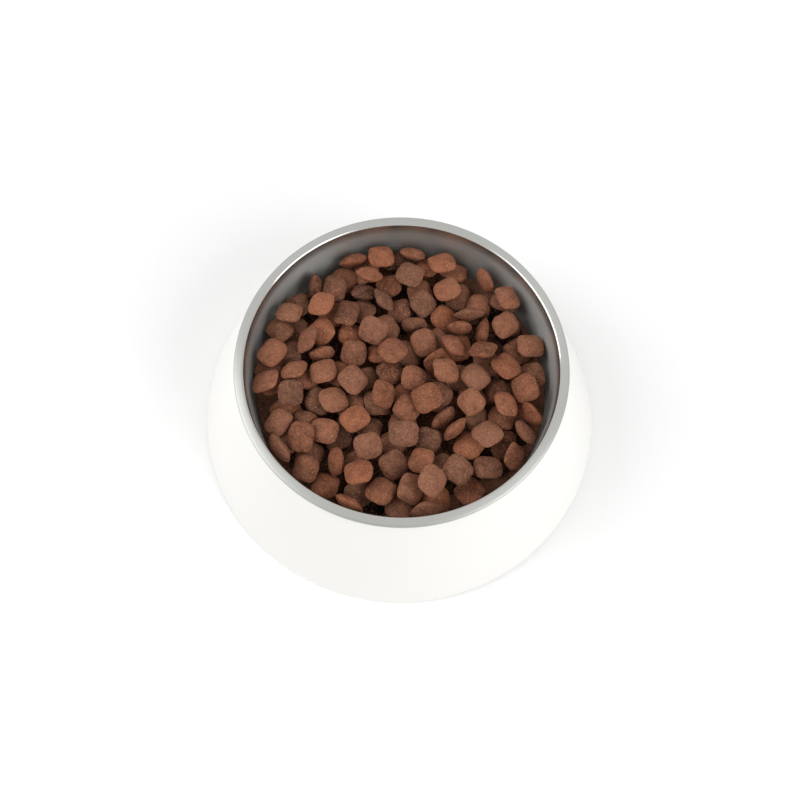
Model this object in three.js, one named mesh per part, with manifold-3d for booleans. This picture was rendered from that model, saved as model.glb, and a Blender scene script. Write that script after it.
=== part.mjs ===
// A pet feeding bowl full of dry food. A flared melamine stand sits on a rubber ring, a drawn
// steel bowl hangs in the stand by its hemmed rim, and the bowl is filled with pillow-shaped kibbles.
// Millimetres, +Z up. The origin is on the floor, under the middle of the stand.

import * as THREE from "three";
import { mergeVertices } from "three/addons/utils/BufferGeometryUtils.js";
import Module from "manifold-3d";

// Gap left between pieces that touch each other
const CLEARANCE = 0.3;
// Straight sides that stand for a full circle, and the most that one side of an arc turns
const ROUND_SIDES = 40;
const ARC_STEP_DEG = 30;

// Steel bowl: one drawn sheet, with its rim turned out flat and hemmed under
const SHEET = 0.8;
const RIM_RADIUS = 70;
const RIM_WIDTH = 4.3;
const RIM_BEND = 0.4;
const HEM_BEND = 0.6;
const HEM_RETURN = 2.2;
const BOWL_DEPTH = 45;
const BOWL_CORNER = 14;
const BOWL_DRAFT_DEG = 3;
// Height of the bowl's underside above the floor
const BOWL_LIFT = 12.9;

// Stand: a moulded skirt, open underneath, with an inturned foot that is grooved for the ring
const STAND_BASE_RADIUS = 91;
const STAND_WALL = 3;
const RIM_OVERHANG = 0.6;
const LIP_ROUND = 0.8;
const COLLAR_DEPTH = 8;
const FOOT_WIDTH = 10;
const FOOT_HEIGHT = 5;
const FOOT_ROUND = 3;

// Rubber ring: pressed into the foot's groove, and proud of it by its standout
const RING_WIDTH = 4;
const RING_HEIGHT = 2.6;
const RING_STANDOUT = 1;
const RING_ROUND = 0.5;

// Food: pillow-shaped kibbles, poured in two courses on top of the ones that are out of sight
const KIBBLE_WIDTH = 11.8;
const KIBBLE_THICKNESS = 5.8;
const KIBBLE_EDGE = 1.74;
const KIBBLE_VARIATION = 0.1;
const KIBBLE_SQUARENESS = 4;
const KIBBLE_SIDES = 8;
const HIDDEN_FOOD_DEPTH = 20.5;
const BED_LAYERS = 0.88;
const BED_SINK = 0.4;
const LOOSE_KIBBLES = 56;

// Pouring: how finely the heap is measured, and how a kibble falls and rolls to rest
const POUR_SEED = 328;
const CELL = 0.25;
const COARSE = 4;
const DROPS = 200;
const ROLLS = 90;
const ROLL_SHIFT = 2.5;
const ROLL_TURN = 0.2;
const FIRST_LEAN = 1.5;
const LAST_LEAN = 0.9;
const LEAST_FALL = 1e-6;

// Places that follow from those sizes
const rimTop = BOWL_LIFT + BOWL_DEPTH;
const bowlFloor = BOWL_LIFT + SHEET;
const hemThickness = 2 * HEM_BEND + SHEET;
const lipTop = rimTop - hemThickness - CLEARANCE;
const lipRadius = RIM_RADIUS - RIM_OVERHANG;
const mouthRadius = RIM_RADIUS - RIM_WIDTH;
const collarRadius = mouthRadius + SHEET + CLEARANCE;
const standBottom = RING_STANDOUT;

const wasm = await Module();
wasm.setup();

const melamine = new THREE.MeshStandardMaterial({ color: 0xf6f5ef, roughness: 0.25, metalness: 0 });
const steel = new THREE.MeshStandardMaterial({ color: 0xb4b3ae, roughness: 0.3, metalness: 1 });
const rubber = new THREE.MeshStandardMaterial({ color: 0x8d8d8a, roughness: 0.8, metalness: 0 });
const biscuit = new THREE.MeshStandardMaterial({ color: 0x8c5e48, roughness: 0.9, metalness: 0 });

const point = (radius, height) => new THREE.Vector2(radius, height);
const toRadians = THREE.MathUtils.degToRad;

// Points along an arc in the (radius, height) plane, both ends included
function arc(middle, bend, fromDeg, toDeg) {
  const steps = Math.ceil(Math.abs(toDeg - fromDeg) / ARC_STEP_DEG);
  return Array.from({ length: steps + 1 }, (_, i) => {
    const turn = toRadians(fromDeg + ((toDeg - fromDeg) * i) / steps);
    return point(middle.x + bend * Math.cos(turn), middle.y + bend * Math.sin(turn));
  });
}

// A profile in the (radius, height) plane turned about +Z
function turned(profile, sides = ROUND_SIDES) {
  return new THREE.LatheGeometry(profile, sides).rotateX(Math.PI / 2);
}

function named(name, geometry, material) {
  const mesh = new THREE.Mesh(geometry, material);
  mesh.name = name;
  return mesh;
}

// Stand

const grooveMiddle = STAND_BASE_RADIUS - FOOT_WIDTH / 2;
const grooveHalf = RING_WIDTH / 2 + CLEARANCE;
const grooveTop = RING_HEIGHT + CLEARANCE;

function standGeometry() {
  const footMiddle = point(STAND_BASE_RADIUS - FOOT_ROUND, standBottom + FOOT_ROUND);
  const lipMiddle = point(lipRadius - LIP_ROUND, lipTop - LIP_ROUND);
  // The skirt is the straight line that touches the rounding of the foot and of the lip
  const rise = lipMiddle.clone().sub(footMiddle);
  const lean = rise.angle() - Math.acos((FOOT_ROUND - LIP_ROUND) / rise.length());
  const leanDeg = THREE.MathUtils.radToDeg(lean);
  const outward = point(Math.cos(lean), Math.sin(lean));
  const skin = outward.dot(footMiddle) + FOOT_ROUND - STAND_WALL;
  const skirtInside = (height) => point((skin - outward.y * height) / outward.x, height);

  const footInside = STAND_BASE_RADIUS - FOOT_WIDTH;
  const footTop = standBottom + FOOT_HEIGHT;
  const collarBottom = lipTop - COLLAR_DEPTH;
  const start = point(footInside, standBottom);
  return turned([
    start,
    point(grooveMiddle - grooveHalf, standBottom),
    point(grooveMiddle - grooveHalf, grooveTop),
    point(grooveMiddle + grooveHalf, grooveTop),
    point(grooveMiddle + grooveHalf, standBottom),
    ...arc(footMiddle, FOOT_ROUND, -90, leanDeg),
    ...arc(lipMiddle, LIP_ROUND, leanDeg, 90),
    point(collarRadius, lipTop),
    point(collarRadius, collarBottom),
    skirtInside(collarBottom),
    skirtInside(footTop),
    point(footInside, footTop),
    start,
  ]);
}

// Rubber ring

function ringGeometry() {
  const inner = grooveMiddle - RING_WIDTH / 2;
  const outer = grooveMiddle + RING_WIDTH / 2;
  const start = point(inner + RING_ROUND, 0);
  return turned([
    start,
    point(outer - RING_ROUND, 0),
    point(outer, RING_ROUND),
    point(outer, RING_HEIGHT),
    point(inner, RING_HEIGHT),
    point(inner, RING_ROUND),
    start,
  ]);
}

// Steel bowl

const wallTop = rimTop - SHEET - RIM_BEND;
const draftSlope = Math.tan(toRadians(BOWL_DRAFT_DEG));
const wallRadius = (height) => mouthRadius - (wallTop - height) * draftSlope;
const cornerHeight = bowlFloor + BOWL_CORNER;
const cornerMiddle = point(
  wallRadius(cornerHeight) - BOWL_CORNER / Math.cos(toRadians(BOWL_DRAFT_DEG)),
  cornerHeight,
);

// The bowl's inside, from the middle of its floor up to a height, moved inwards by a gap
function bowlInside(gap, top) {
  const bend = BOWL_CORNER - gap;
  const cut = THREE.MathUtils.clamp((top - cornerHeight) / bend, -1, 0);
  const endDeg = Math.min(-BOWL_DRAFT_DEG, THREE.MathUtils.radToDeg(Math.asin(cut)));
  const corner = arc(cornerMiddle, bend, -90, endDeg);
  const end = corner.at(-1);
  return [point(0, bowlFloor + gap), ...corner, point(end.x + (top - end.y) * draftSlope, top)];
}

function steelBowlGeometry() {
  const throat = point(mouthRadius + SHEET + RIM_BEND, wallTop);
  const hem = point(RIM_RADIUS - SHEET / 2 - HEM_BEND, rimTop - hemThickness / 2);
  const hemEnd = hem.x - HEM_RETURN;
  const face = [
    ...bowlInside(0, wallTop),
    ...arc(throat, RIM_BEND + SHEET, 180, 90).slice(1),
    ...arc(hem, HEM_BEND + SHEET / 2, 90, -90),
    point(hemEnd, rimTop - hemThickness),
  ];
  const back = [
    ...bowlInside(-SHEET, wallTop),
    ...arc(throat, RIM_BEND, 180, 90).slice(1),
    ...arc(hem, HEM_BEND - SHEET / 2, 90, -90),
    point(hemEnd, rimTop - hemThickness + SHEET),
  ];
  return turned([...back, ...face.reverse()]);
}

// Kibble: a lens with a blunt edge, pushed out from round to a rounded square

function kibbleGeometry() {
  const lens = [
    point(0, -KIBBLE_THICKNESS / 2),
    point(KIBBLE_WIDTH / 2, -KIBBLE_EDGE / 2),
    point(KIBBLE_WIDTH / 2, KIBBLE_EDGE / 2),
    point(0, KIBBLE_THICKNESS / 2),
  ];
  const geometry = turned(lens, KIBBLE_SIDES);
  const place = geometry.attributes.position;
  for (let i = 0; i < place.count; i++) {
    const out = Math.hypot(place.getX(i), place.getY(i)) || 1;
    const share = (along) => Math.abs(along / out) ** KIBBLE_SQUARENESS;
    const sum = share(place.getX(i)) + share(place.getY(i)) || 1;
    const push = sum ** (-1 / KIBBLE_SQUARENESS);
    place.setXY(i, place.getX(i) * push, place.getY(i) * push);
  }
  return geometry;
}

const kibble = kibbleGeometry();
const kibbleCorners = Array.from({ length: kibble.attributes.position.count }, (_, i) =>
  new THREE.Vector3().fromBufferAttribute(kibble.attributes.position, i));

// The plane of each face of a kibble, as its outward normal and its distance from the middle
const SAME_DIRECTION = 1e-6;
const kibblePlanes = [];
for (let i = 0; i < kibble.index.count; i += 3) {
  const corners = [0, 1, 2].map((step) => kibbleCorners[kibble.index.getX(i + step)]);
  const face = new THREE.Triangle(...corners);
  const normal = face.getNormal(new THREE.Vector3());
  const isNew = kibblePlanes.every((plane) => plane.normal.distanceTo(normal) > SAME_DIRECTION);
  if (face.getArea() > 0 && isNew) kibblePlanes.push({ normal, distance: normal.dot(face.a) });
}

// Pouring

// A number from 0 to 1, from a sequence that is the same each time
const DRAW_FACTOR = 16807;
const DRAW_PRIME = 2147483647;
let draw = POUR_SEED;
function chance() {
  draw = (draw * DRAW_FACTOR) % DRAW_PRIME;
  return draw / DRAW_PRIME;
}
const either = (reach) => (2 * chance() - 1) * reach;

// Food that is out of sight fills the bowl to a level on which the kibbles fall
const hiddenTop = rimTop - HIDDEN_FOOD_DEPTH;
const hiddenProfile = bowlInside(CLEARANCE, hiddenTop);
const foodRadius = hiddenProfile.at(-1).x * Math.cos(Math.PI / ROUND_SIDES);

// The heap seen from above: the height of what lies in each cell
const reach = Math.ceil(foodRadius / CELL);
const across = 2 * reach + 1;
const heap = new Float64Array(across * across).fill(hiddenTop);

// Kibbles of the bed sink into each other. Loose ones are swelled, so that none meets another
// between the cells, and thin edges count.
const swelled = CELL * Math.SQRT1_2 + CLEARANCE / 2;
const BEDDED = { swell: 0, sink: BED_SINK, thinnest: BED_SINK };
const LOOSE = { swell: swelled, sink: 0, thinnest: 0 };

const turnOf = (pose) => new THREE.Euler(pose.roll, pose.pitch, pose.yaw, "ZYX");

// Visits the cells that a kibble covers, with its underside and top measured from its middle,
// until a visit returns true
function eachCell(pose, fit, stride, visit) {
  const turn = turnOf(pose);
  const planes = kibblePlanes.map(({ normal, distance }) => {
    const leaning = normal.clone().divide(pose.size);
    const stretch = 1 / leaning.length();
    return { n: leaning.multiplyScalar(stretch).applyEuler(turn), d: distance * stretch + fit.swell };
  });
  const half = KIBBLE_WIDTH * (1 + KIBBLE_VARIATION) * Math.SQRT1_2 + fit.swell;
  const step = CELL * stride;
  const limit = Math.floor(reach / stride);
  const first = (middle) => Math.max(-limit, Math.ceil((middle - half) / step));
  const last = (middle) => Math.min(limit, Math.floor((middle + half) / step));
  for (let row = first(pose.y); row <= last(pose.y); row++) {
    for (let column = first(pose.x); column <= last(pose.x); column++) {
      const x = column * step - pose.x;
      const y = row * step - pose.y;
      let under = -Infinity;
      let over = Infinity;
      for (const { n, d } of planes) {
        const height = (d - n.x * x - n.y * y) / n.z;
        if (n.z < 0) under = Math.max(under, height);
        else over = Math.min(over, height);
      }
      if (over - under <= fit.thinnest) continue;
      const cell = (row * stride + reach) * across + column * stride + reach;
      if (visit(cell, under, over)) return;
    }
  }
}

// The height at which a kibble in this pose comes to lie on the heap, measured no further than a limit
function restingHeight(pose, fit, stride, limit = Infinity) {
  let height = hiddenTop;
  eachCell(pose, fit, stride, (cell, under) => {
    height = Math.max(height, heap[cell] - under);
    return height > limit + fit.sink;
  });
  return height - fit.sink;
}

function addToHeap(pose, fit) {
  eachCell(pose, fit, 1, (cell, under, over) => {
    heap[cell] = Math.max(heap[cell], pose.z + over);
  });
}

// A kibble's corners in a pose, measured from its middle
function cornersOf(pose) {
  const turn = turnOf(pose);
  return kibbleCorners.map((corner) => corner.clone().multiply(pose.size).applyEuler(turn));
}

function dropped(size, pitch, roll) {
  const out = foodRadius * Math.sqrt(chance());
  const round = 2 * Math.PI * chance();
  return { size, pitch, roll, x: out * Math.cos(round), y: out * Math.sin(round), yaw: either(Math.PI) };
}

function rolled(pose, vigour) {
  return {
    size: pose.size,
    x: pose.x + either(ROLL_SHIFT * vigour),
    y: pose.y + either(ROLL_SHIFT * vigour),
    yaw: pose.yaw + either(ROLL_TURN * vigour),
    pitch: pose.pitch + either(ROLL_TURN * vigour),
    roll: pose.roll + either(ROLL_TURN * vigour),
  };
}

// Drops a kibble where it stands out least from the heap, lets it roll lower, and adds it to the heap
function pourKibble(fit, lean) {
  const stretch = () => 1 + either(KIBBLE_VARIATION);
  const size = new THREE.Vector3(stretch(), stretch(), stretch());
  const pitch = either(lean);
  const roll = either(lean);
  let best = { climb: Infinity };
  for (let go = 0; go < DROPS + ROLLS; go++) {
    const isFalling = go < DROPS || best.climb === Infinity;
    const pose = isFalling ? dropped(size, pitch, roll) : rolled(best, 1 - (go - DROPS) / ROLLS);
    const corners = cornersOf(pose);
    if (corners.some((corner) => Math.hypot(pose.x + corner.x, pose.y + corner.y) > foodRadius)) continue;
    const peak = Math.max(...corners.map((corner) => corner.z));
    pose.climb = restingHeight(pose, fit, COARSE, best.climb - peak) + peak;
    if (pose.climb < best.climb - LEAST_FALL) best = pose;
  }
  best.z = restingHeight(best, fit, 1);
  addToHeap(best, fit);
  return best;
}

function kibbleMesh(name, pose) {
  const mesh = named(name, kibble, biscuit);
  mesh.scale.copy(pose.size);
  mesh.rotation.copy(turnOf(pose));
  mesh.position.set(pose.x, pose.y, pose.z);
  mesh.updateMatrix();
  return mesh;
}

// A closed geometry as a solid that can be joined to others
function solidOf(geometry) {
  const bare = geometry.clone().deleteAttribute("normal").deleteAttribute("uv");
  const merged = mergeVertices(bare);
  const vertProperties = merged.attributes.position.array;
  const triVerts = new Uint32Array(merged.index.array);
  return new wasm.Manifold(new wasm.Mesh({ numProp: 3, vertProperties, triVerts }));
}

// The lower course of kibbles, joined to the food that is out of sight
function bedGeometry(poses) {
  const hidden = solidOf(turned([...hiddenProfile, point(0, hiddenTop)]));
  const meshes = poses.map((pose) => kibbleMesh("", pose));
  const solids = meshes.map((mesh) => solidOf(mesh.geometry.clone().applyMatrix4(mesh.matrix)));
  const { vertProperties, triVerts } = solids.reduce((bed, solid) => bed.add(solid), hidden).getMesh();
  const geometry = new THREE.BufferGeometry();
  geometry.setAttribute("position", new THREE.BufferAttribute(vertProperties, 3));
  return geometry.setIndex(new THREE.BufferAttribute(triVerts, 1));
}

// Pours a course of kibbles: the first ones lean most, and the last ones lie flatter on top of them
function pourCourse(count, fit) {
  return Array.from({ length: count }, (_, i) =>
    pourKibble(fit, THREE.MathUtils.lerp(FIRST_LEAN, LAST_LEAN, i / count)));
}

const bedKibbles = Math.round((BED_LAYERS * Math.PI * foodRadius ** 2) / KIBBLE_WIDTH ** 2);
const bedPoses = pourCourse(bedKibbles, BEDDED);
bedPoses.forEach((pose) => addToHeap(pose, LOOSE));

const bowl = new THREE.Group();
bowl.add(named("stand", standGeometry(), melamine));
bowl.add(named("non_slip_ring", ringGeometry(), rubber));
bowl.add(named("steel_bowl", steelBowlGeometry(), steel));
bowl.add(named("kibble_bed", bedGeometry(bedPoses), biscuit));
pourCourse(LOOSE_KIBBLES, LOOSE).forEach((pose, i) => {
  bowl.add(kibbleMesh(`kibble_${String(i + 1).padStart(2, "0")}`, pose));
});

export default bowl;
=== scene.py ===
import math
import random

import bmesh
import bpy
import numpy as np
from mathutils import Matrix, Vector, noise


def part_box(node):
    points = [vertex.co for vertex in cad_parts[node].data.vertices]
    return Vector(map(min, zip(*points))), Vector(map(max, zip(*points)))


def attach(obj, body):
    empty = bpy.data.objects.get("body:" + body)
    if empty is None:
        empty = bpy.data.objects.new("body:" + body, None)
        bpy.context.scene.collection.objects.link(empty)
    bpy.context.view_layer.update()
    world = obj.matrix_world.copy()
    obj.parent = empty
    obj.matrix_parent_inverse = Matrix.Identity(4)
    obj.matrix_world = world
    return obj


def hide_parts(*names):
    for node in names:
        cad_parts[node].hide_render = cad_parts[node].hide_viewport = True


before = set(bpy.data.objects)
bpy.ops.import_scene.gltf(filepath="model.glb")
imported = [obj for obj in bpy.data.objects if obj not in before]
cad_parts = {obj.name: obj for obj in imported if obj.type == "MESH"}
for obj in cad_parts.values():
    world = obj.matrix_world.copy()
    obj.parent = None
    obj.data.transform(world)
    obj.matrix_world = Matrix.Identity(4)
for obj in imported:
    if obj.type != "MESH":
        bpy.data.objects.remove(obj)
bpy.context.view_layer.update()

# Rubber ring
# A moulded ring of grey rubber, pressed into the groove under the stand's foot. It stands a little
# proud of the foot, so that the bowl doesn't slide when an animal eats from it.

MM = 0.001
AROUND = 192
SHARP_CORNER = math.radians(35)

SAME_PLACE = 0.001 * MM

RING_WIDTH = 4 * MM
RING_ROUND = 0.5 * MM
RUBBER_GREY = (0.27, 0.27, 0.26, 1)
RUBBER_GRAIN = 2500
RUBBER_GRAIN_DEPTH = 0.05 * MM


def arc(middle, bend, from_deg, to_deg, steps=8):
    """Points of an arc in the (radius, height) plane, both ends included."""
    turns = [math.radians(from_deg + (to_deg - from_deg) * i / steps) for i in range(steps + 1)]
    return [(middle[0] + bend * math.cos(turn), middle[1] + bend * math.sin(turn)) for turn in turns]


def turned(name, profile):
    """A piece that is round about Z, from the outline of its section in the (radius, height) plane."""
    bm = bmesh.new()
    corners = [bm.verts.new((radius, 0, height)) for radius, height in profile]
    for corner, following in zip(corners, corners[1:] + corners[:1]):
        if corner.co.x or following.co.x:
            bm.edges.new((corner, following))
    outline = bm.verts[:] + bm.edges[:]
    bmesh.ops.spin(bm, geom=outline, axis=(0, 0, 1), angle=math.tau, steps=AROUND, use_merge=True)
    bmesh.ops.remove_doubles(bm, verts=bm.verts, dist=SAME_PLACE)
    bmesh.ops.recalc_face_normals(bm, faces=bm.faces)
    return finished(name, bm)


def finished(name, bm):
    """A bmesh as a smooth object at the origin."""
    mesh = bpy.data.meshes.new(name)
    bm.to_mesh(mesh)
    bm.free()
    mesh.shade_smooth()
    mesh.set_sharp_from_angle(angle=SHARP_CORNER)
    piece = bpy.data.objects.new(name, mesh)
    bpy.context.scene.collection.objects.link(piece)
    return piece


def new_material(name, **sockets):
    """A node material and its shader, with the shader's sockets set by name."""
    material = bpy.data.materials.new(name)
    material.use_nodes = True
    shader = material.node_tree.nodes["Principled BSDF"]
    for socket, value in sockets.items():
        shader.inputs[socket.replace("_", " ")].default_value = value
    return material, shader


def add_node(material, kind, inputs=(), **settings):
    """A node of a material, with its settings and with its inputs set or linked."""
    node = material.node_tree.nodes.new(kind)
    for setting, value in settings.items():
        setattr(node, setting, value)
    for socket, value in dict(inputs).items():
        if isinstance(value, bpy.types.NodeSocket):
            material.node_tree.links.new(value, node.inputs[socket])
        else:
            node.inputs[socket].default_value = value
    return node


def plug(material, output, node, socket):
    """Links an output to a socket of a node."""
    material.node_tree.links.new(output, node.inputs[socket])


def grain(material, scale, detail=2.0, roughness=0.5):
    """Noise on a piece's own coordinates, with about scale waves to the metre."""
    place = add_node(material, "ShaderNodeTexCoord").outputs["Object"]
    inputs = {"Vector": place, "Scale": scale, "Detail": detail, "Roughness": roughness}
    return add_node(material, "ShaderNodeTexNoise", inputs).outputs["Fac"]


def bumped(material, shader, height, depth, strength=1.0):
    """Gives a shader the bumps of a height, at a depth in metres."""
    inputs = {"Height": height, "Distance": depth, "Strength": strength}
    plug(material, add_node(material, "ShaderNodeBump", inputs).outputs["Normal"], shader, "Normal")


ring_low, ring_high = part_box("non_slip_ring")
ring_outer = ring_high.x
ring_inner = ring_outer - RING_WIDTH
ring = turned("rubber_ring", [
    *arc((ring_inner + RING_ROUND, RING_ROUND), RING_ROUND, 180, 270),
    *arc((ring_outer - RING_ROUND, RING_ROUND), RING_ROUND, 270, 360),
    (ring_outer, ring_high.z),
    (ring_inner, ring_high.z),
])
rubber, rubber_shader = new_material("grey_rubber", Base_Color=RUBBER_GREY, Roughness=0.8)
bumped(rubber, rubber_shader, grain(rubber, RUBBER_GRAIN), RUBBER_GRAIN_DEPTH)
ring.data.materials.append(rubber)
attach(ring, "root")
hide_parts("non_slip_ring")

# Stand
# A flared skirt of warm white melamine, pressed in one piece and polished by its mould. It is open
# underneath, with an inturned foot that is grooved for the ring and a collar that holds the bowl.

STAND_WALL = 3 * MM
LIP_ROUND = 0.8 * MM
COLLAR_DEPTH = 8 * MM
COLLAR_RADIUS = 66.8 * MM
LIP_RADIUS = 69.4 * MM
FOOT_WIDTH = 10 * MM
FOOT_HEIGHT = 5 * MM
FOOT_ROUND = 1.2 * MM
INNER_ROUND = 0.6 * MM
GROOVE_GAP = 0.3 * MM
WARM_WHITE = (0.90, 0.89, 0.855, 1)
CLOUD_SCALE = 25
GLOSSIEST = 0.24
DULLEST = 0.4

stand_low, stand_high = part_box("stand")
foot_outer = stand_high.x
foot_inner = foot_outer - FOOT_WIDTH
foot_bottom = stand_low.z
foot_top = foot_bottom + FOOT_HEIGHT
foot_middle = Vector((foot_outer - FOOT_ROUND, foot_bottom + FOOT_ROUND))
lip_top = stand_high.z
lip_middle = Vector((LIP_RADIUS - LIP_ROUND, lip_top - LIP_ROUND))
collar_bottom = lip_top - COLLAR_DEPTH

# The skirt is the straight line that touches the rounding of the foot and of the lip
rise = lip_middle - foot_middle
lean = math.atan2(rise.y, rise.x) - math.acos((FOOT_ROUND - LIP_ROUND) / rise.length)
outward = Vector((math.cos(lean), math.sin(lean)))
skin = outward.dot(foot_middle) + FOOT_ROUND - STAND_WALL


def skirt_inside(height):
    """The point of the skirt's inner face at a height."""
    return (skin - outward.y * height) / outward.x, height


stand = turned("white_stand", [
    *arc((foot_inner + INNER_ROUND, foot_bottom + INNER_ROUND), INNER_ROUND, 180, 270, 4),
    (ring_inner - GROOVE_GAP, foot_bottom),
    (ring_inner - GROOVE_GAP, ring_high.z + GROOVE_GAP),
    (ring_outer + GROOVE_GAP, ring_high.z + GROOVE_GAP),
    (ring_outer + GROOVE_GAP, foot_bottom),
    *arc(foot_middle, FOOT_ROUND, -90, math.degrees(lean), 12),
    *arc(lip_middle, LIP_ROUND, math.degrees(lean), 90),
    *arc((COLLAR_RADIUS + INNER_ROUND, lip_top - INNER_ROUND), INNER_ROUND, 90, 180, 4),
    (COLLAR_RADIUS, collar_bottom),
    skirt_inside(collar_bottom),
    skirt_inside(foot_top),
    (foot_inner, foot_top),
])
melamine, melamine_shader = new_material(
    "white_melamine", Base_Color=WARM_WHITE, Roughness=0.3, IOR=1.5)
melamine_cloud = add_node(melamine, "ShaderNodeMapRange", {
    "Value": grain(melamine, CLOUD_SCALE, detail=1), "To Min": GLOSSIEST, "To Max": DULLEST})
plug(melamine, melamine_cloud.outputs["Result"], melamine_shader, "Roughness")
stand.data.materials.append(melamine)
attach(stand, "root")
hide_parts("stand")

# Steel bowl
# A round bowl drawn from one sheet of stainless steel. Its rim is turned out flat, brushed, and hemmed
# under, and it hangs by that rim on the stand's lip. The bend into the bowl is polished.

SHEET = 0.8 * MM
RIM_WIDTH = 4.3 * MM
RIM_BEND = 0.4 * MM
HEM_BEND = 0.6 * MM
HEM_RETURN = 2.2 * MM
BOWL_CORNER = 14 * MM
BOWL_DRAFT_DEG = 3
STEEL_GREY = (0.46, 0.46, 0.44, 1)
WALL_ROUGH = 0.45
BEND_ROUGH = 0.14
RIM_ROUGH = 0.34
HEM_ROUGH = 0.6
BRUSHED = 0.8
ACROSS_THE_BRUSH = 0.25
BRUSH_SCALE = 5000
BRUSH_DEPTH = 0.01 * MM
POLISH_BELOW = 0.3 * MM
POLISH_FROM = 0.2 * MM
POLISH_WIDTH = 0.4 * MM
HEM_EDGE = 0.5 * MM

bowl_low, bowl_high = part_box("steel_bowl")
rim_radius = bowl_high.x
rim_top = bowl_high.z
bowl_floor = bowl_low.z + SHEET
mouth_radius = rim_radius - RIM_WIDTH
hem_thickness = 2 * HEM_BEND + SHEET
wall_top = rim_top - SHEET - RIM_BEND
draft_slope = math.tan(math.radians(BOWL_DRAFT_DEG))
corner_height = bowl_floor + BOWL_CORNER
corner_radius = (mouth_radius - (wall_top - corner_height) * draft_slope
                 - BOWL_CORNER / math.cos(math.radians(BOWL_DRAFT_DEG)))


def bowl_side(gap):
    """The bowl's inside from the middle of its floor to the top of its wall, moved inwards by a gap."""
    corner = arc((corner_radius, corner_height), BOWL_CORNER - gap, -90, -BOWL_DRAFT_DEG, 16)
    end_radius, end_height = corner[-1]
    return [(0, bowl_floor + gap), *corner, (end_radius + (wall_top - end_height) * draft_slope, wall_top)]


throat = (mouth_radius + SHEET + RIM_BEND, wall_top)
hem = (rim_radius - SHEET / 2 - HEM_BEND, rim_top - hem_thickness / 2)
hem_end = hem[0] - HEM_RETURN
bowl_face = [
    *bowl_side(0),
    *arc(throat, RIM_BEND + SHEET, 180, 90)[1:],
    *arc(hem, HEM_BEND + SHEET / 2, 90, -90, 12),
    (hem_end, rim_top - hem_thickness),
]
bowl_back = [
    *bowl_side(-SHEET),
    *arc(throat, RIM_BEND, 180, 90, 4)[1:],
    *arc(hem, HEM_BEND - SHEET / 2, 90, -90, 6),
    (hem_end, rim_top - hem_thickness + SHEET),
]
bowl = turned("brushed_steel_bowl", [*bowl_back, *reversed(bowl_face)])

# The brush went round the bowl, so its marks follow the radius on the rim and the height on the wall
steel, steel_shader = new_material(
    "brushed_steel", Base_Color=STEEL_GREY, Metallic=1, Roughness=0.3,
    Anisotropic=BRUSHED, Anisotropic_Rotation=ACROSS_THE_BRUSH)
brush_way = add_node(steel, "ShaderNodeTangent", direction_type="RADIAL", axis="Z")
plug(steel, brush_way.outputs["Tangent"], steel_shader, "Tangent")
steel_place = add_node(steel, "ShaderNodeTexCoord").outputs["Object"]
steel_axes = add_node(steel, "ShaderNodeSeparateXYZ", {"Vector": steel_place})
steel_flat = add_node(steel, "ShaderNodeCombineXYZ", {
    "X": steel_axes.outputs["X"], "Y": steel_axes.outputs["Y"]})
steel_radius = add_node(steel, "ShaderNodeVectorMath", {"Vector": steel_flat.outputs["Vector"]},
                        operation="LENGTH")
steel_section = add_node(steel, "ShaderNodeCombineXYZ", {
    "X": steel_radius.outputs["Value"], "Y": steel_axes.outputs["Z"]})
brush_marks = add_node(steel, "ShaderNodeTexNoise", {
    "Vector": steel_section.outputs["Vector"], "Scale": BRUSH_SCALE, "Detail": 3}).outputs["Fac"]
bumped(steel, steel_shader, brush_marks, BRUSH_DEPTH)
from_mouth = add_node(steel, "ShaderNodeMath", {0: steel_radius.outputs["Value"], 1: mouth_radius},
                      operation="SUBTRACT").outputs["Value"]
wall_to_bend = add_node(steel, "ShaderNodeMapRange", {
    "Value": from_mouth, "From Min": -POLISH_BELOW, "From Max": POLISH_FROM,
    "To Min": WALL_ROUGH, "To Max": BEND_ROUGH})
bend_to_rim = add_node(steel, "ShaderNodeMapRange", {
    "Value": from_mouth, "From Min": RIM_BEND + POLISH_WIDTH, "From Max": RIM_BEND + SHEET,
    "To Max": RIM_ROUGH - BEND_ROUGH})
rim_to_hem = add_node(steel, "ShaderNodeMapRange", {
    "Value": from_mouth, "From Min": RIM_WIDTH - hem_thickness / 2, "From Max": RIM_WIDTH - HEM_EDGE,
    "To Max": HEM_ROUGH - RIM_ROUGH})
mouth_roughness = add_node(steel, "ShaderNodeMath", {
    0: wall_to_bend.outputs["Result"], 1: bend_to_rim.outputs["Result"]}, operation="ADD")
steel_roughness = add_node(steel, "ShaderNodeMath", {
    0: mouth_roughness.outputs["Value"], 1: rim_to_hem.outputs["Result"]}, operation="ADD")
plug(steel, steel_roughness.outputs["Value"], steel_shader, "Roughness")
bowl.data.materials.append(steel)
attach(bowl, "root")
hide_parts("steel_bowl")

# Kibbles
# Baked biscuits of dry food, cut as pillows with a rounded-square outline and thin edges, matte and
# finely pitted. They were poured in and lie loose: each one fell where it stood out least, and rolled lower.

# The pour is worked out in millimetres
KIBBLE_WIDTH = 11.8
KIBBLE_THICKNESS = 5.8
KIBBLE_EDGE = 1.74
KIBBLE_VARIATION = 0.1
KIBBLE_SQUARENESS = 4
KIBBLE_SIDES = 8
FOOD_GAP = 0.3
HIDDEN_FOOD_DEPTH = 20.5
BED_LAYERS = 0.88
BED_SINK = 0.4
LOOSE_KIBBLES = 56
CAD_SIDES = 40

POUR_SEED = 328
DRAW_FACTOR = 16807
DRAW_PRIME = 2147483647
CELL = 0.25
COARSE = 4
DROPS = 200
ROLLS = 90
ROLL_SHIFT = 2.5
ROLL_TURN = 0.2
FIRST_LEAN = 1.5
LAST_LEAN = 0.9
LEAST_FALL = 1e-6

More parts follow.
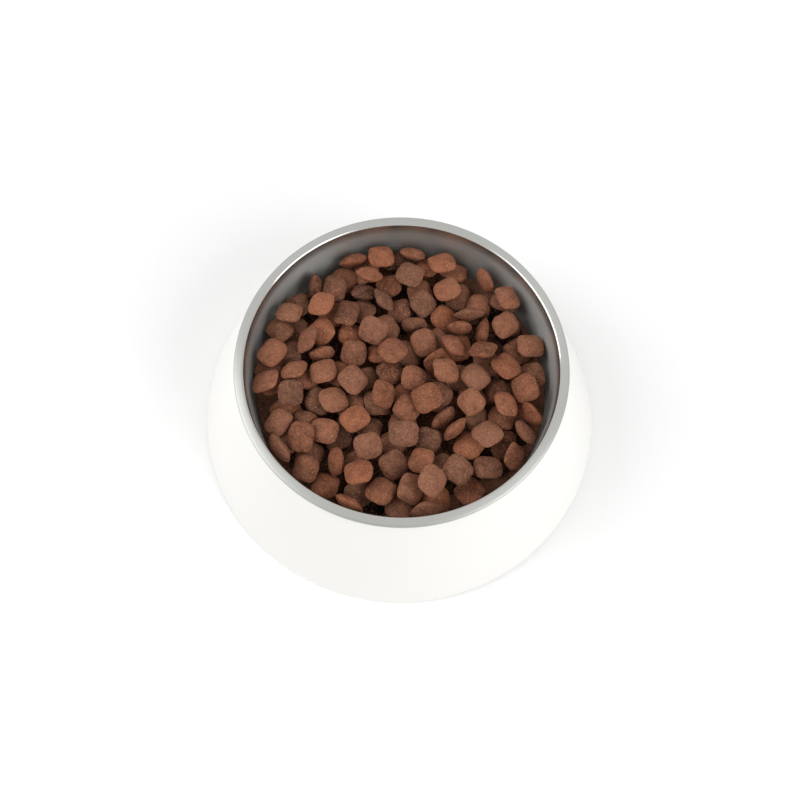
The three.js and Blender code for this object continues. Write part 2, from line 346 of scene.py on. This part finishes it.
hidden_top = rim_top / MM - HIDDEN_FOOD_DEPTH
food_corner = (corner_radius / MM, corner_height / MM)
food_bend = BOWL_CORNER / MM - FOOD_GAP
corner_end = arc(food_corner, food_bend, 0, -BOWL_DRAFT_DEG)[-1]
hidden_radius = corner_end[0] + (hidden_top - corner_end[1]) * draft_slope
food_radius = hidden_radius * math.cos(math.pi / CAD_SIDES)


def squared(turn, squareness):
    """How far out a rounded square reaches at a turn, where its side is at 1."""
    return (abs(math.cos(turn)) ** squareness + abs(math.sin(turn)) ** squareness) ** (-1 / squareness)


# The facets that a kibble rests and touches with: a cap above, a cap below and a band around its edge
edge_turns = [math.tau * side / KIBBLE_SIDES for side in range(KIBBLE_SIDES)]
edge_ways = [np.array([math.cos(turn), math.sin(turn)]) for turn in edge_turns]
edge_corners = [KIBBLE_WIDTH / 2 * squared(turn, KIBBLE_SQUARENESS) * way
                for turn, way in zip(edge_turns, edge_ways)]
low_corners = [np.array([*corner, -KIBBLE_EDGE / 2]) for corner in edge_corners]
high_corners = [np.array([*corner, KIBBLE_EDGE / 2]) for corner in edge_corners]
poles = [np.array([0, 0, -KIBBLE_THICKNESS / 2]), np.array([0, 0, KIBBLE_THICKNESS / 2])]
kibble_corners = np.array([*low_corners, *high_corners, *poles])
facets = []
for side in range(KIBBLE_SIDES):
    after = (side + 1) % KIBBLE_SIDES
    facets.append((low_corners[after], low_corners[side], poles[0]))
    facets.append((low_corners[side], low_corners[after], high_corners[side]))
    facets.append((high_corners[side], high_corners[after], poles[1]))
facet_normals = np.array([np.cross(b - a, c - a) for a, b, c in facets])
facet_normals /= np.linalg.norm(facet_normals, axis=1, keepdims=True)
facet_distances = np.array([normal @ facet[0] for normal, facet in zip(facet_normals, facets)])

heap_reach = math.ceil(food_radius / CELL)
heap = np.full((2 * heap_reach + 1, 2 * heap_reach + 1), hidden_top)
BEDDED = {"swell": 0, "sink": BED_SINK, "thinnest": BED_SINK}
LOOSE = {"swell": CELL * math.sqrt(0.5) + FOOD_GAP / 2, "sink": 0, "thinnest": 0}


def draws(seed):
    """Numbers from 0 to 1, the same each time."""
    while True:
        seed = seed * DRAW_FACTOR % DRAW_PRIME
        yield seed / DRAW_PRIME


pour_draws = draws(POUR_SEED)


def either(reach):
    """A draw from minus a reach to plus that reach."""
    return (2 * next(pour_draws) - 1) * reach


def turn_of(pose):
    """A kibble's rotation: a roll, then a pitch, then a yaw."""
    cx, cy, cz = (math.cos(pose[angle]) for angle in ("roll", "pitch", "yaw"))
    sx, sy, sz = (math.sin(pose[angle]) for angle in ("roll", "pitch", "yaw"))
    return np.array([
        [cz * cy, cz * sy * sx - sz * cx, cz * sy * cx + sz * sx],
        [sz * cy, sz * sy * sx + cz * cx, sz * sy * cx - cz * sx],
        [-sy, cy * sx, cy * cx],
    ])


def covered_cells(pose, fit, stride):
    """The heap's cells near a kibble, which of them it covers, and its underside and top there."""
    leaning = facet_normals / pose["size"]
    stretch = 1 / np.linalg.norm(leaning, axis=1)
    normals = (leaning * stretch[:, None]) @ turn_of(pose).T
    distances = facet_distances * stretch + fit["swell"]
    half = KIBBLE_WIDTH * (1 + KIBBLE_VARIATION) * math.sqrt(0.5) + fit["swell"]
    step = CELL * stride
    limit = heap_reach // stride
    spans = []
    for middle in (pose["x"], pose["y"]):
        first = max(-limit, math.ceil((middle - half) / step))
        last = min(limit, math.floor((middle + half) / step))
        spans.append(np.arange(first, last + 1))
    x = spans[0] * step - pose["x"]
    y = spans[1] * step - pose["y"]
    across = (distances[:, None] - normals[:, :1] * x) / normals[:, 2:]
    along = normals[:, 1:2] * y / normals[:, 2:]
    heights = across[:, None, :] - along[:, :, None]
    faces_down = normals[:, 2] < 0
    under = heights[faces_down].max(axis=0)
    over = heights[~faces_down].min(axis=0)
    rows = slice(spans[1][0] * stride + heap_reach, spans[1][-1] * stride + heap_reach + 1, stride)
    columns = slice(spans[0][0] * stride + heap_reach, spans[0][-1] * stride + heap_reach + 1, stride)
    return (rows, columns), over - under > fit["thinnest"], under, over


def resting_height(pose, fit, stride):
    """The height at which a kibble in this pose comes to lie on the heap."""
    cells, covered, under, over = covered_cells(pose, fit, stride)
    lifted = np.where(covered, heap[cells] - under, hidden_top)
    return max(hidden_top, lifted.max()) - fit["sink"]


def add_to_heap(pose, fit):
    """Raises the heap to the top of a kibble."""
    cells, covered, under, over = covered_cells(pose, fit, 1)
    heap[cells] = np.where(covered, np.maximum(heap[cells], pose["z"] + over), heap[cells])


def dropped(size, pitch, roll):
    """A kibble at a random place above the heap."""
    out = food_radius * math.sqrt(next(pour_draws))
    around = math.tau * next(pour_draws)
    return {"size": size, "pitch": pitch, "roll": roll, "x": out * math.cos(around),
            "y": out * math.sin(around), "yaw": either(math.pi)}


def rolled(pose, vigour):
    """A kibble moved and turned a little from its pose."""
    moved = dict(pose)
    for place in ("x", "y"):
        moved[place] += either(ROLL_SHIFT * vigour)
    for angle in ("yaw", "pitch", "roll"):
        moved[angle] += either(ROLL_TURN * vigour)
    return moved


def pour_kibble(fit, lean):
    """Drops a kibble where it stands out least from the heap, lets it roll lower, and adds it to the heap."""
    size = np.array([1 + either(KIBBLE_VARIATION) for axis in range(3)])
    pitch = either(lean)
    roll = either(lean)
    best = None
    for go in range(DROPS + ROLLS):
        is_falling = go < DROPS or best is None
        pose = dropped(size, pitch, roll) if is_falling else rolled(best, 1 - (go - DROPS) / ROLLS)
        corners = (kibble_corners * size) @ turn_of(pose).T
        if np.hypot(pose["x"] + corners[:, 0], pose["y"] + corners[:, 1]).max() > food_radius:
            continue
        pose["climb"] = resting_height(pose, fit, COARSE) + corners[:, 2].max()
        if best is None or pose["climb"] < best["climb"] - LEAST_FALL:
            best = pose
    best["z"] = resting_height(best, fit, 1)
    add_to_heap(best, fit)
    return best


def pour_course(count, fit):
    """The first kibbles of a course lean most, and the last ones lie flatter on top of them."""
    leans = [FIRST_LEAN + (LAST_LEAN - FIRST_LEAN) * i / count for i in range(count)]
    return [pour_kibble(fit, lean) for lean in leans]


bed_count = round(BED_LAYERS * math.pi * food_radius ** 2 / KIBBLE_WIDTH ** 2)
bed_poses = pour_course(bed_count, BEDDED)
for pose in bed_poses:
    add_to_heap(pose, LOOSE)
loose_poses = pour_course(LOOSE_KIBBLES, LOOSE)

# A kibble's baked form: a pillow inside those facets, with lumps and dents of its own
PILLOW_WIDTH = 11.6
PILLOW_SQUARENESS = 3.1
PILLOW_THICKNESS = 5.4
EDGE_SHARE = 0.45
LENS_CURVE = 1.7
LUMP_DEPTH = 0.45
LUMP_SPAN = 5
DENT_DEPTH = 0.16
DENT_SPAN = 1.6
LOOSE_CUTS = 15
BED_CUTS = 9

looks = random.Random(7)


def pillow(bm, pose, cuts, painted_shade=0):
    """Adds a kibble to a bmesh, in its pose. A painted shade below 0 colours it darker, as painted shade for
    a kibble that lies deeper.
    """
    blank = bmesh.new()
    bmesh.ops.create_cube(blank, size=2)
    bmesh.ops.subdivide_edges(blank, edges=blank.edges, cuts=cuts, use_grid_fill=True)
    own = Vector((looks.uniform(0, 99), looks.uniform(0, 99), looks.uniform(0, 99)))
    # A kibble's shade is a random tone about a mean, and a mean below 0 is painted shade for the deeper
    # kibbles
    tone_and_shade = {"shade": looks.gauss(painted_shade, 1), "redness": looks.uniform(0, 1)}
    for vert in blank.verts:
        way = vert.co.normalized()
        reach = squared(math.atan2(way.y, way.x), PILLOW_SQUARENESS) * PILLOW_WIDTH / 2
        height = EDGE_SHARE * abs(way.z) + (1 - EDGE_SHARE) * abs(way.z) ** LENS_CURVE
        vert.co = Vector((way.x * reach, way.y * reach,
                          math.copysign(height, way.z) * PILLOW_THICKNESS / 2))
    blank.normal_update()
    moves = [vert.normal * (LUMP_DEPTH * noise.noise(vert.co / LUMP_SPAN + own)
                            + DENT_DEPTH * noise.noise(vert.co / DENT_SPAN + own))
             for vert in blank.verts]
    for vert, move in zip(blank.verts, moves):
        vert.co += move
    turn = Matrix(turn_of(pose).tolist()) @ Matrix.Diagonal(pose["size"])
    place = Matrix.Translation((pose["x"], pose["y"], pose["z"])) @ turn.to_4x4()
    bmesh.ops.transform(blank, matrix=Matrix.Scale(MM, 4) @ place, verts=blank.verts)
    for name, value in tone_and_shade.items():
        layer = blank.verts.layers.float.new(name)
        for vert in blank.verts:
            vert[layer] = value
    mesh = bpy.data.meshes.new("blank")
    blank.to_mesh(mesh)
    blank.free()
    bm.from_mesh(mesh)
    bpy.data.meshes.remove(mesh)


BISCUIT_RED = (0.375, 0.134, 0.068, 1)
BISCUIT_BROWN = (0.275, 0.124, 0.075, 1)
# Painted glint: the colour of light specks that stand in for glints of oil on the kibbles
BISCUIT_GLINT = (0.55, 0.28, 0.165, 1)
SHADE_SPREAD = 0.12
CRUST_SCALE = 330
SPECK_SCALE = 1500
PIT_DEPTH = 0.6 * MM
CRUST_RANGE = (0.3, 0.7)
CRUST_SHADES = (0.6, 1.1)
PIT_RANGE = (0.28, 0.46)
PIT_PAINTED_SHADES = (0.55, 1.0)
GLINT_RANGE = (0.6, 0.72)
GLINT_SHARES = (0.0, 0.75)

biscuit, biscuit_shader = new_material(
    "baked_biscuit", Base_Color=BISCUIT_BROWN, Roughness=0.8, Specular_IOR_Level=0.15)
crust = grain(biscuit, CRUST_SCALE, detail=4, roughness=0.65)
specks = grain(biscuit, SPECK_SCALE, detail=2, roughness=0.6)


def carried_value(name):
    """A value that each kibble carries."""
    return add_node(biscuit, "ShaderNodeAttribute", attribute_name=name).outputs["Fac"]


def spread(value, low, high, to_low, to_high):
    """A value with one range stretched to another."""
    inputs = {"Value": value, "From Min": low, "From Max": high, "To Min": to_low, "To Max": to_high}
    return add_node(biscuit, "ShaderNodeMapRange", inputs).outputs["Result"]


def mixed(share, first, second, blend="MIX"):
    """Two colours mixed, by the share of the second."""
    inputs = {0: share, 6: first, 7: second}
    return add_node(biscuit, "ShaderNodeMix", inputs, data_type="RGBA", blend_type=blend).outputs[2]


hue = mixed(carried_value("redness"), BISCUIT_BROWN, BISCUIT_RED)
# The kibble's own shade darkens its colour: a random tone, with painted shade on the deeper kibbles
shade = add_node(biscuit, "ShaderNodeMath", {
    0: carried_value("shade"), 1: SHADE_SPREAD, 2: spread(crust, *CRUST_RANGE, *CRUST_SHADES)},
    operation="MULTIPLY_ADD", use_clamp=True).outputs["Value"]
crust_and_shade = mixed(1.0, hue, shade, "MULTIPLY")
# Painted shade in the pits: the colour darkens where the speck noise is lowest, where the bump sinks the
# surface
pit_shaded = mixed(1.0, crust_and_shade, spread(specks, *PIT_RANGE, *PIT_PAINTED_SHADES), "MULTIPLY")
# Painted glints: light specks mixed in where the speck noise is highest, on the tops of the bumps
speckled = mixed(spread(specks, *GLINT_RANGE, *GLINT_SHARES), pit_shaded, BISCUIT_GLINT)
plug(biscuit, speckled, biscuit_shader, "Base Color")
bumped(biscuit, biscuit_shader, specks, PIT_DEPTH)

for number, pose in enumerate(loose_poses, start=1):
    bm = bmesh.new()
    pillow(bm, pose, LOOSE_CUTS)
    kibble = finished(f"biscuit_{number:02d}", bm)
    kibble.data.materials.append(biscuit)
    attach(kibble, "root")
    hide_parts(f"kibble_{number:02d}")

# Bed of kibbles
# The kibbles under the loose ones, and the ones below them that only show in the gaps. They rest on
# the food that fills the bowl below. They are coloured darker the deeper they lie: painted shade.

UNDER_SPACING = 10.5
UNDER_SHIFT = 0.15
UNDER_LEAN = 0.5
UNDER_CUTS = 5
UNDER_DROP = 4
CORE_DROP = 8
# Painted shade: the bed kibbles are coloured darker, and the ones under them darker still
BED_PAINTED_SHADE = -1.6
UNDER_PAINTED_SHADE = -5

bed = bmesh.new()
for pose in bed_poses:
    pillow(bed, pose, BED_CUTS, BED_PAINTED_SHADE)
rows = int(food_radius / UNDER_SPACING) + 1
for row in range(-rows, rows + 1):
    for column in range(-rows, rows + 1):
        pose = {
            "x": (column + row % 2 / 2 + looks.uniform(-UNDER_SHIFT, UNDER_SHIFT)) * UNDER_SPACING,
            "y": (row * math.sqrt(0.75) + looks.uniform(-UNDER_SHIFT, UNDER_SHIFT)) * UNDER_SPACING,
            "yaw": looks.uniform(-math.pi, math.pi),
            "pitch": looks.uniform(-UNDER_LEAN, UNDER_LEAN),
            "roll": looks.uniform(-UNDER_LEAN, UNDER_LEAN),
            "size": np.ones(3),
        }
        corners = kibble_corners @ turn_of(pose).T
        pose["z"] = hidden_top - UNDER_DROP - corners[:, 2].max()
        if np.hypot(pose["x"] + corners[:, 0], pose["y"] + corners[:, 1]).max() < food_radius:
            pillow(bed, pose, UNDER_CUTS, UNDER_PAINTED_SHADE)
bed = finished("biscuit_bed", bed)
bed.data.materials.append(biscuit)
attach(bed, "root")
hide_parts("kibble_bed")

core_top = hidden_top - CORE_DROP
core_corner = arc(food_corner, food_bend, -90, -BOWL_DRAFT_DEG, 16)
core_edge = core_corner[-1][0] + (core_top - core_corner[-1][1]) * draft_slope
core_profile = [(0, bowl_floor / MM + FOOD_GAP), *core_corner, (core_edge, core_top), (0, core_top)]
core = turned("hidden_food", [(radius * MM, height * MM) for radius, height in core_profile])
core.data.materials.append(biscuit)
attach(core, "root")

# Studio
# A plain white floor under soft light: a white room, and a large soft lamp on either side. The camera
# looks down on the bowl from its front.

FLOOR_SIZE = 4.0
FLOOR_WHITE = (0.9, 0.9, 0.9, 1)
FLOOR_GLOW = 0.08
FAR_FLOOR_GLOW = 0.6
NEAR_FLOOR = 0.2
FAR_FLOOR = 1.1
ROOM_LIGHT = 0.5
ROOM_WHITE = 1.0
CAMERA_DISTANCE = 0.42
CAMERA_ELEVATION = math.radians(69.8)
CAMERA_ROLL = math.radians(2.39)
FOCAL_PIXELS = 879
IMAGE_PIXELS = 800
IMAGE_DROP = 9.7
SENSOR = 36
NEAREST_SEEN = 0.01

floor_bm = bmesh.new()
bmesh.ops.create_grid(floor_bm, x_segments=1, y_segments=1, size=FLOOR_SIZE / 2)
floor = finished("floor", floor_bm)
floor_white, floor_shader = new_material("floor_white", Base_Color=FLOOR_WHITE, Roughness=1)
floor_shader.inputs["Specular IOR Level"].default_value = 0


def seen_share(owner):
    """1 for the rays that show a surface to the camera, directly or in gloss or glass, and else 0."""
    ray = add_node(owner, "ShaderNodeLightPath").outputs
    seen = add_node(owner, "ShaderNodeMath", {0: ray["Is Camera Ray"], 1: ray["Is Glossy Ray"]},
                    operation="ADD")
    seen_too = add_node(owner, "ShaderNodeMath", {0: seen.outputs[0], 1: ray["Is Transmission Ray"]},
                        operation="ADD", use_clamp=True)
    return seen_too.outputs[0]


# The lamps light the floor less far away, where a glow keeps it white up to its edge
floor_place = add_node(floor_white, "ShaderNodeTexCoord").outputs["Object"]
floor_distance = add_node(floor_white, "ShaderNodeVectorMath", {"Vector": floor_place}, operation="LENGTH")
white_enough = add_node(floor_white, "ShaderNodeMapRange", {
    "Value": floor_distance.outputs["Value"], "From Min": NEAR_FLOOR, "From Max": FAR_FLOOR,
    "To Min": FLOOR_GLOW, "To Max": FAR_FLOOR_GLOW})
floor_glow = add_node(floor_white, "ShaderNodeMath", {
    0: seen_share(floor_white), 1: white_enough.outputs["Result"]}, operation="MULTIPLY")
floor_shader.inputs["Emission Color"].default_value = (1, 1, 1, 1)
plug(floor_white, floor_glow.outputs[0], floor_shader, "Emission Strength")
floor.data.materials.append(floor_white)

world = bpy.data.worlds.new("room")
bpy.context.scene.world = world
world.use_nodes = True
room = world.node_tree.nodes["Background"]
room.inputs["Color"].default_value = (1, 1, 1, 1)
room_light = add_node(world, "ShaderNodeMapRange", {
    "Value": seen_share(world), "To Min": ROOM_LIGHT, "To Max": ROOM_WHITE})
plug(world, room_light.outputs["Result"], room, "Strength")


def soft_lamp(name, place, size, power):
    """A square lamp that faces the bowl."""
    lamp = bpy.data.lights.new(name, "AREA")
    lamp.shape = "SQUARE"
    lamp.size = size
    lamp.energy = power
    holder = bpy.data.objects.new(name, lamp)
    bpy.context.scene.collection.objects.link(holder)
    holder.location = place
    holder.rotation_euler = Vector(place).to_track_quat("Z", "Y").to_euler()


soft_lamp("left_lamp", place=(-0.9, 0, 0.85), size=0.9, power=8)
soft_lamp("right_lamp", place=(0.85, -0.5, 0.75), size=0.8, power=8)

camera_data = bpy.data.cameras.new("camera")
camera_data.sensor_width = SENSOR
camera_data.lens = FOCAL_PIXELS / IMAGE_PIXELS * SENSOR
camera_data.shift_y = IMAGE_DROP / IMAGE_PIXELS
camera_data.clip_start = NEAREST_SEEN
camera = bpy.data.objects.new("camera", camera_data)
bpy.context.scene.collection.objects.link(camera)
aim = Vector((0, -math.cos(CAMERA_ELEVATION), math.sin(CAMERA_ELEVATION)))
facing = aim.to_track_quat("Z", "Y").to_matrix().to_4x4()
rolled_camera = facing @ Matrix.Rotation(CAMERA_ROLL, 4, "Z")
camera.matrix_world = Matrix.Translation(aim * CAMERA_DISTANCE) @ rolled_camera
bpy.context.scene.camera = camera
bpy.context.scene.view_settings.view_transform = "Standard"
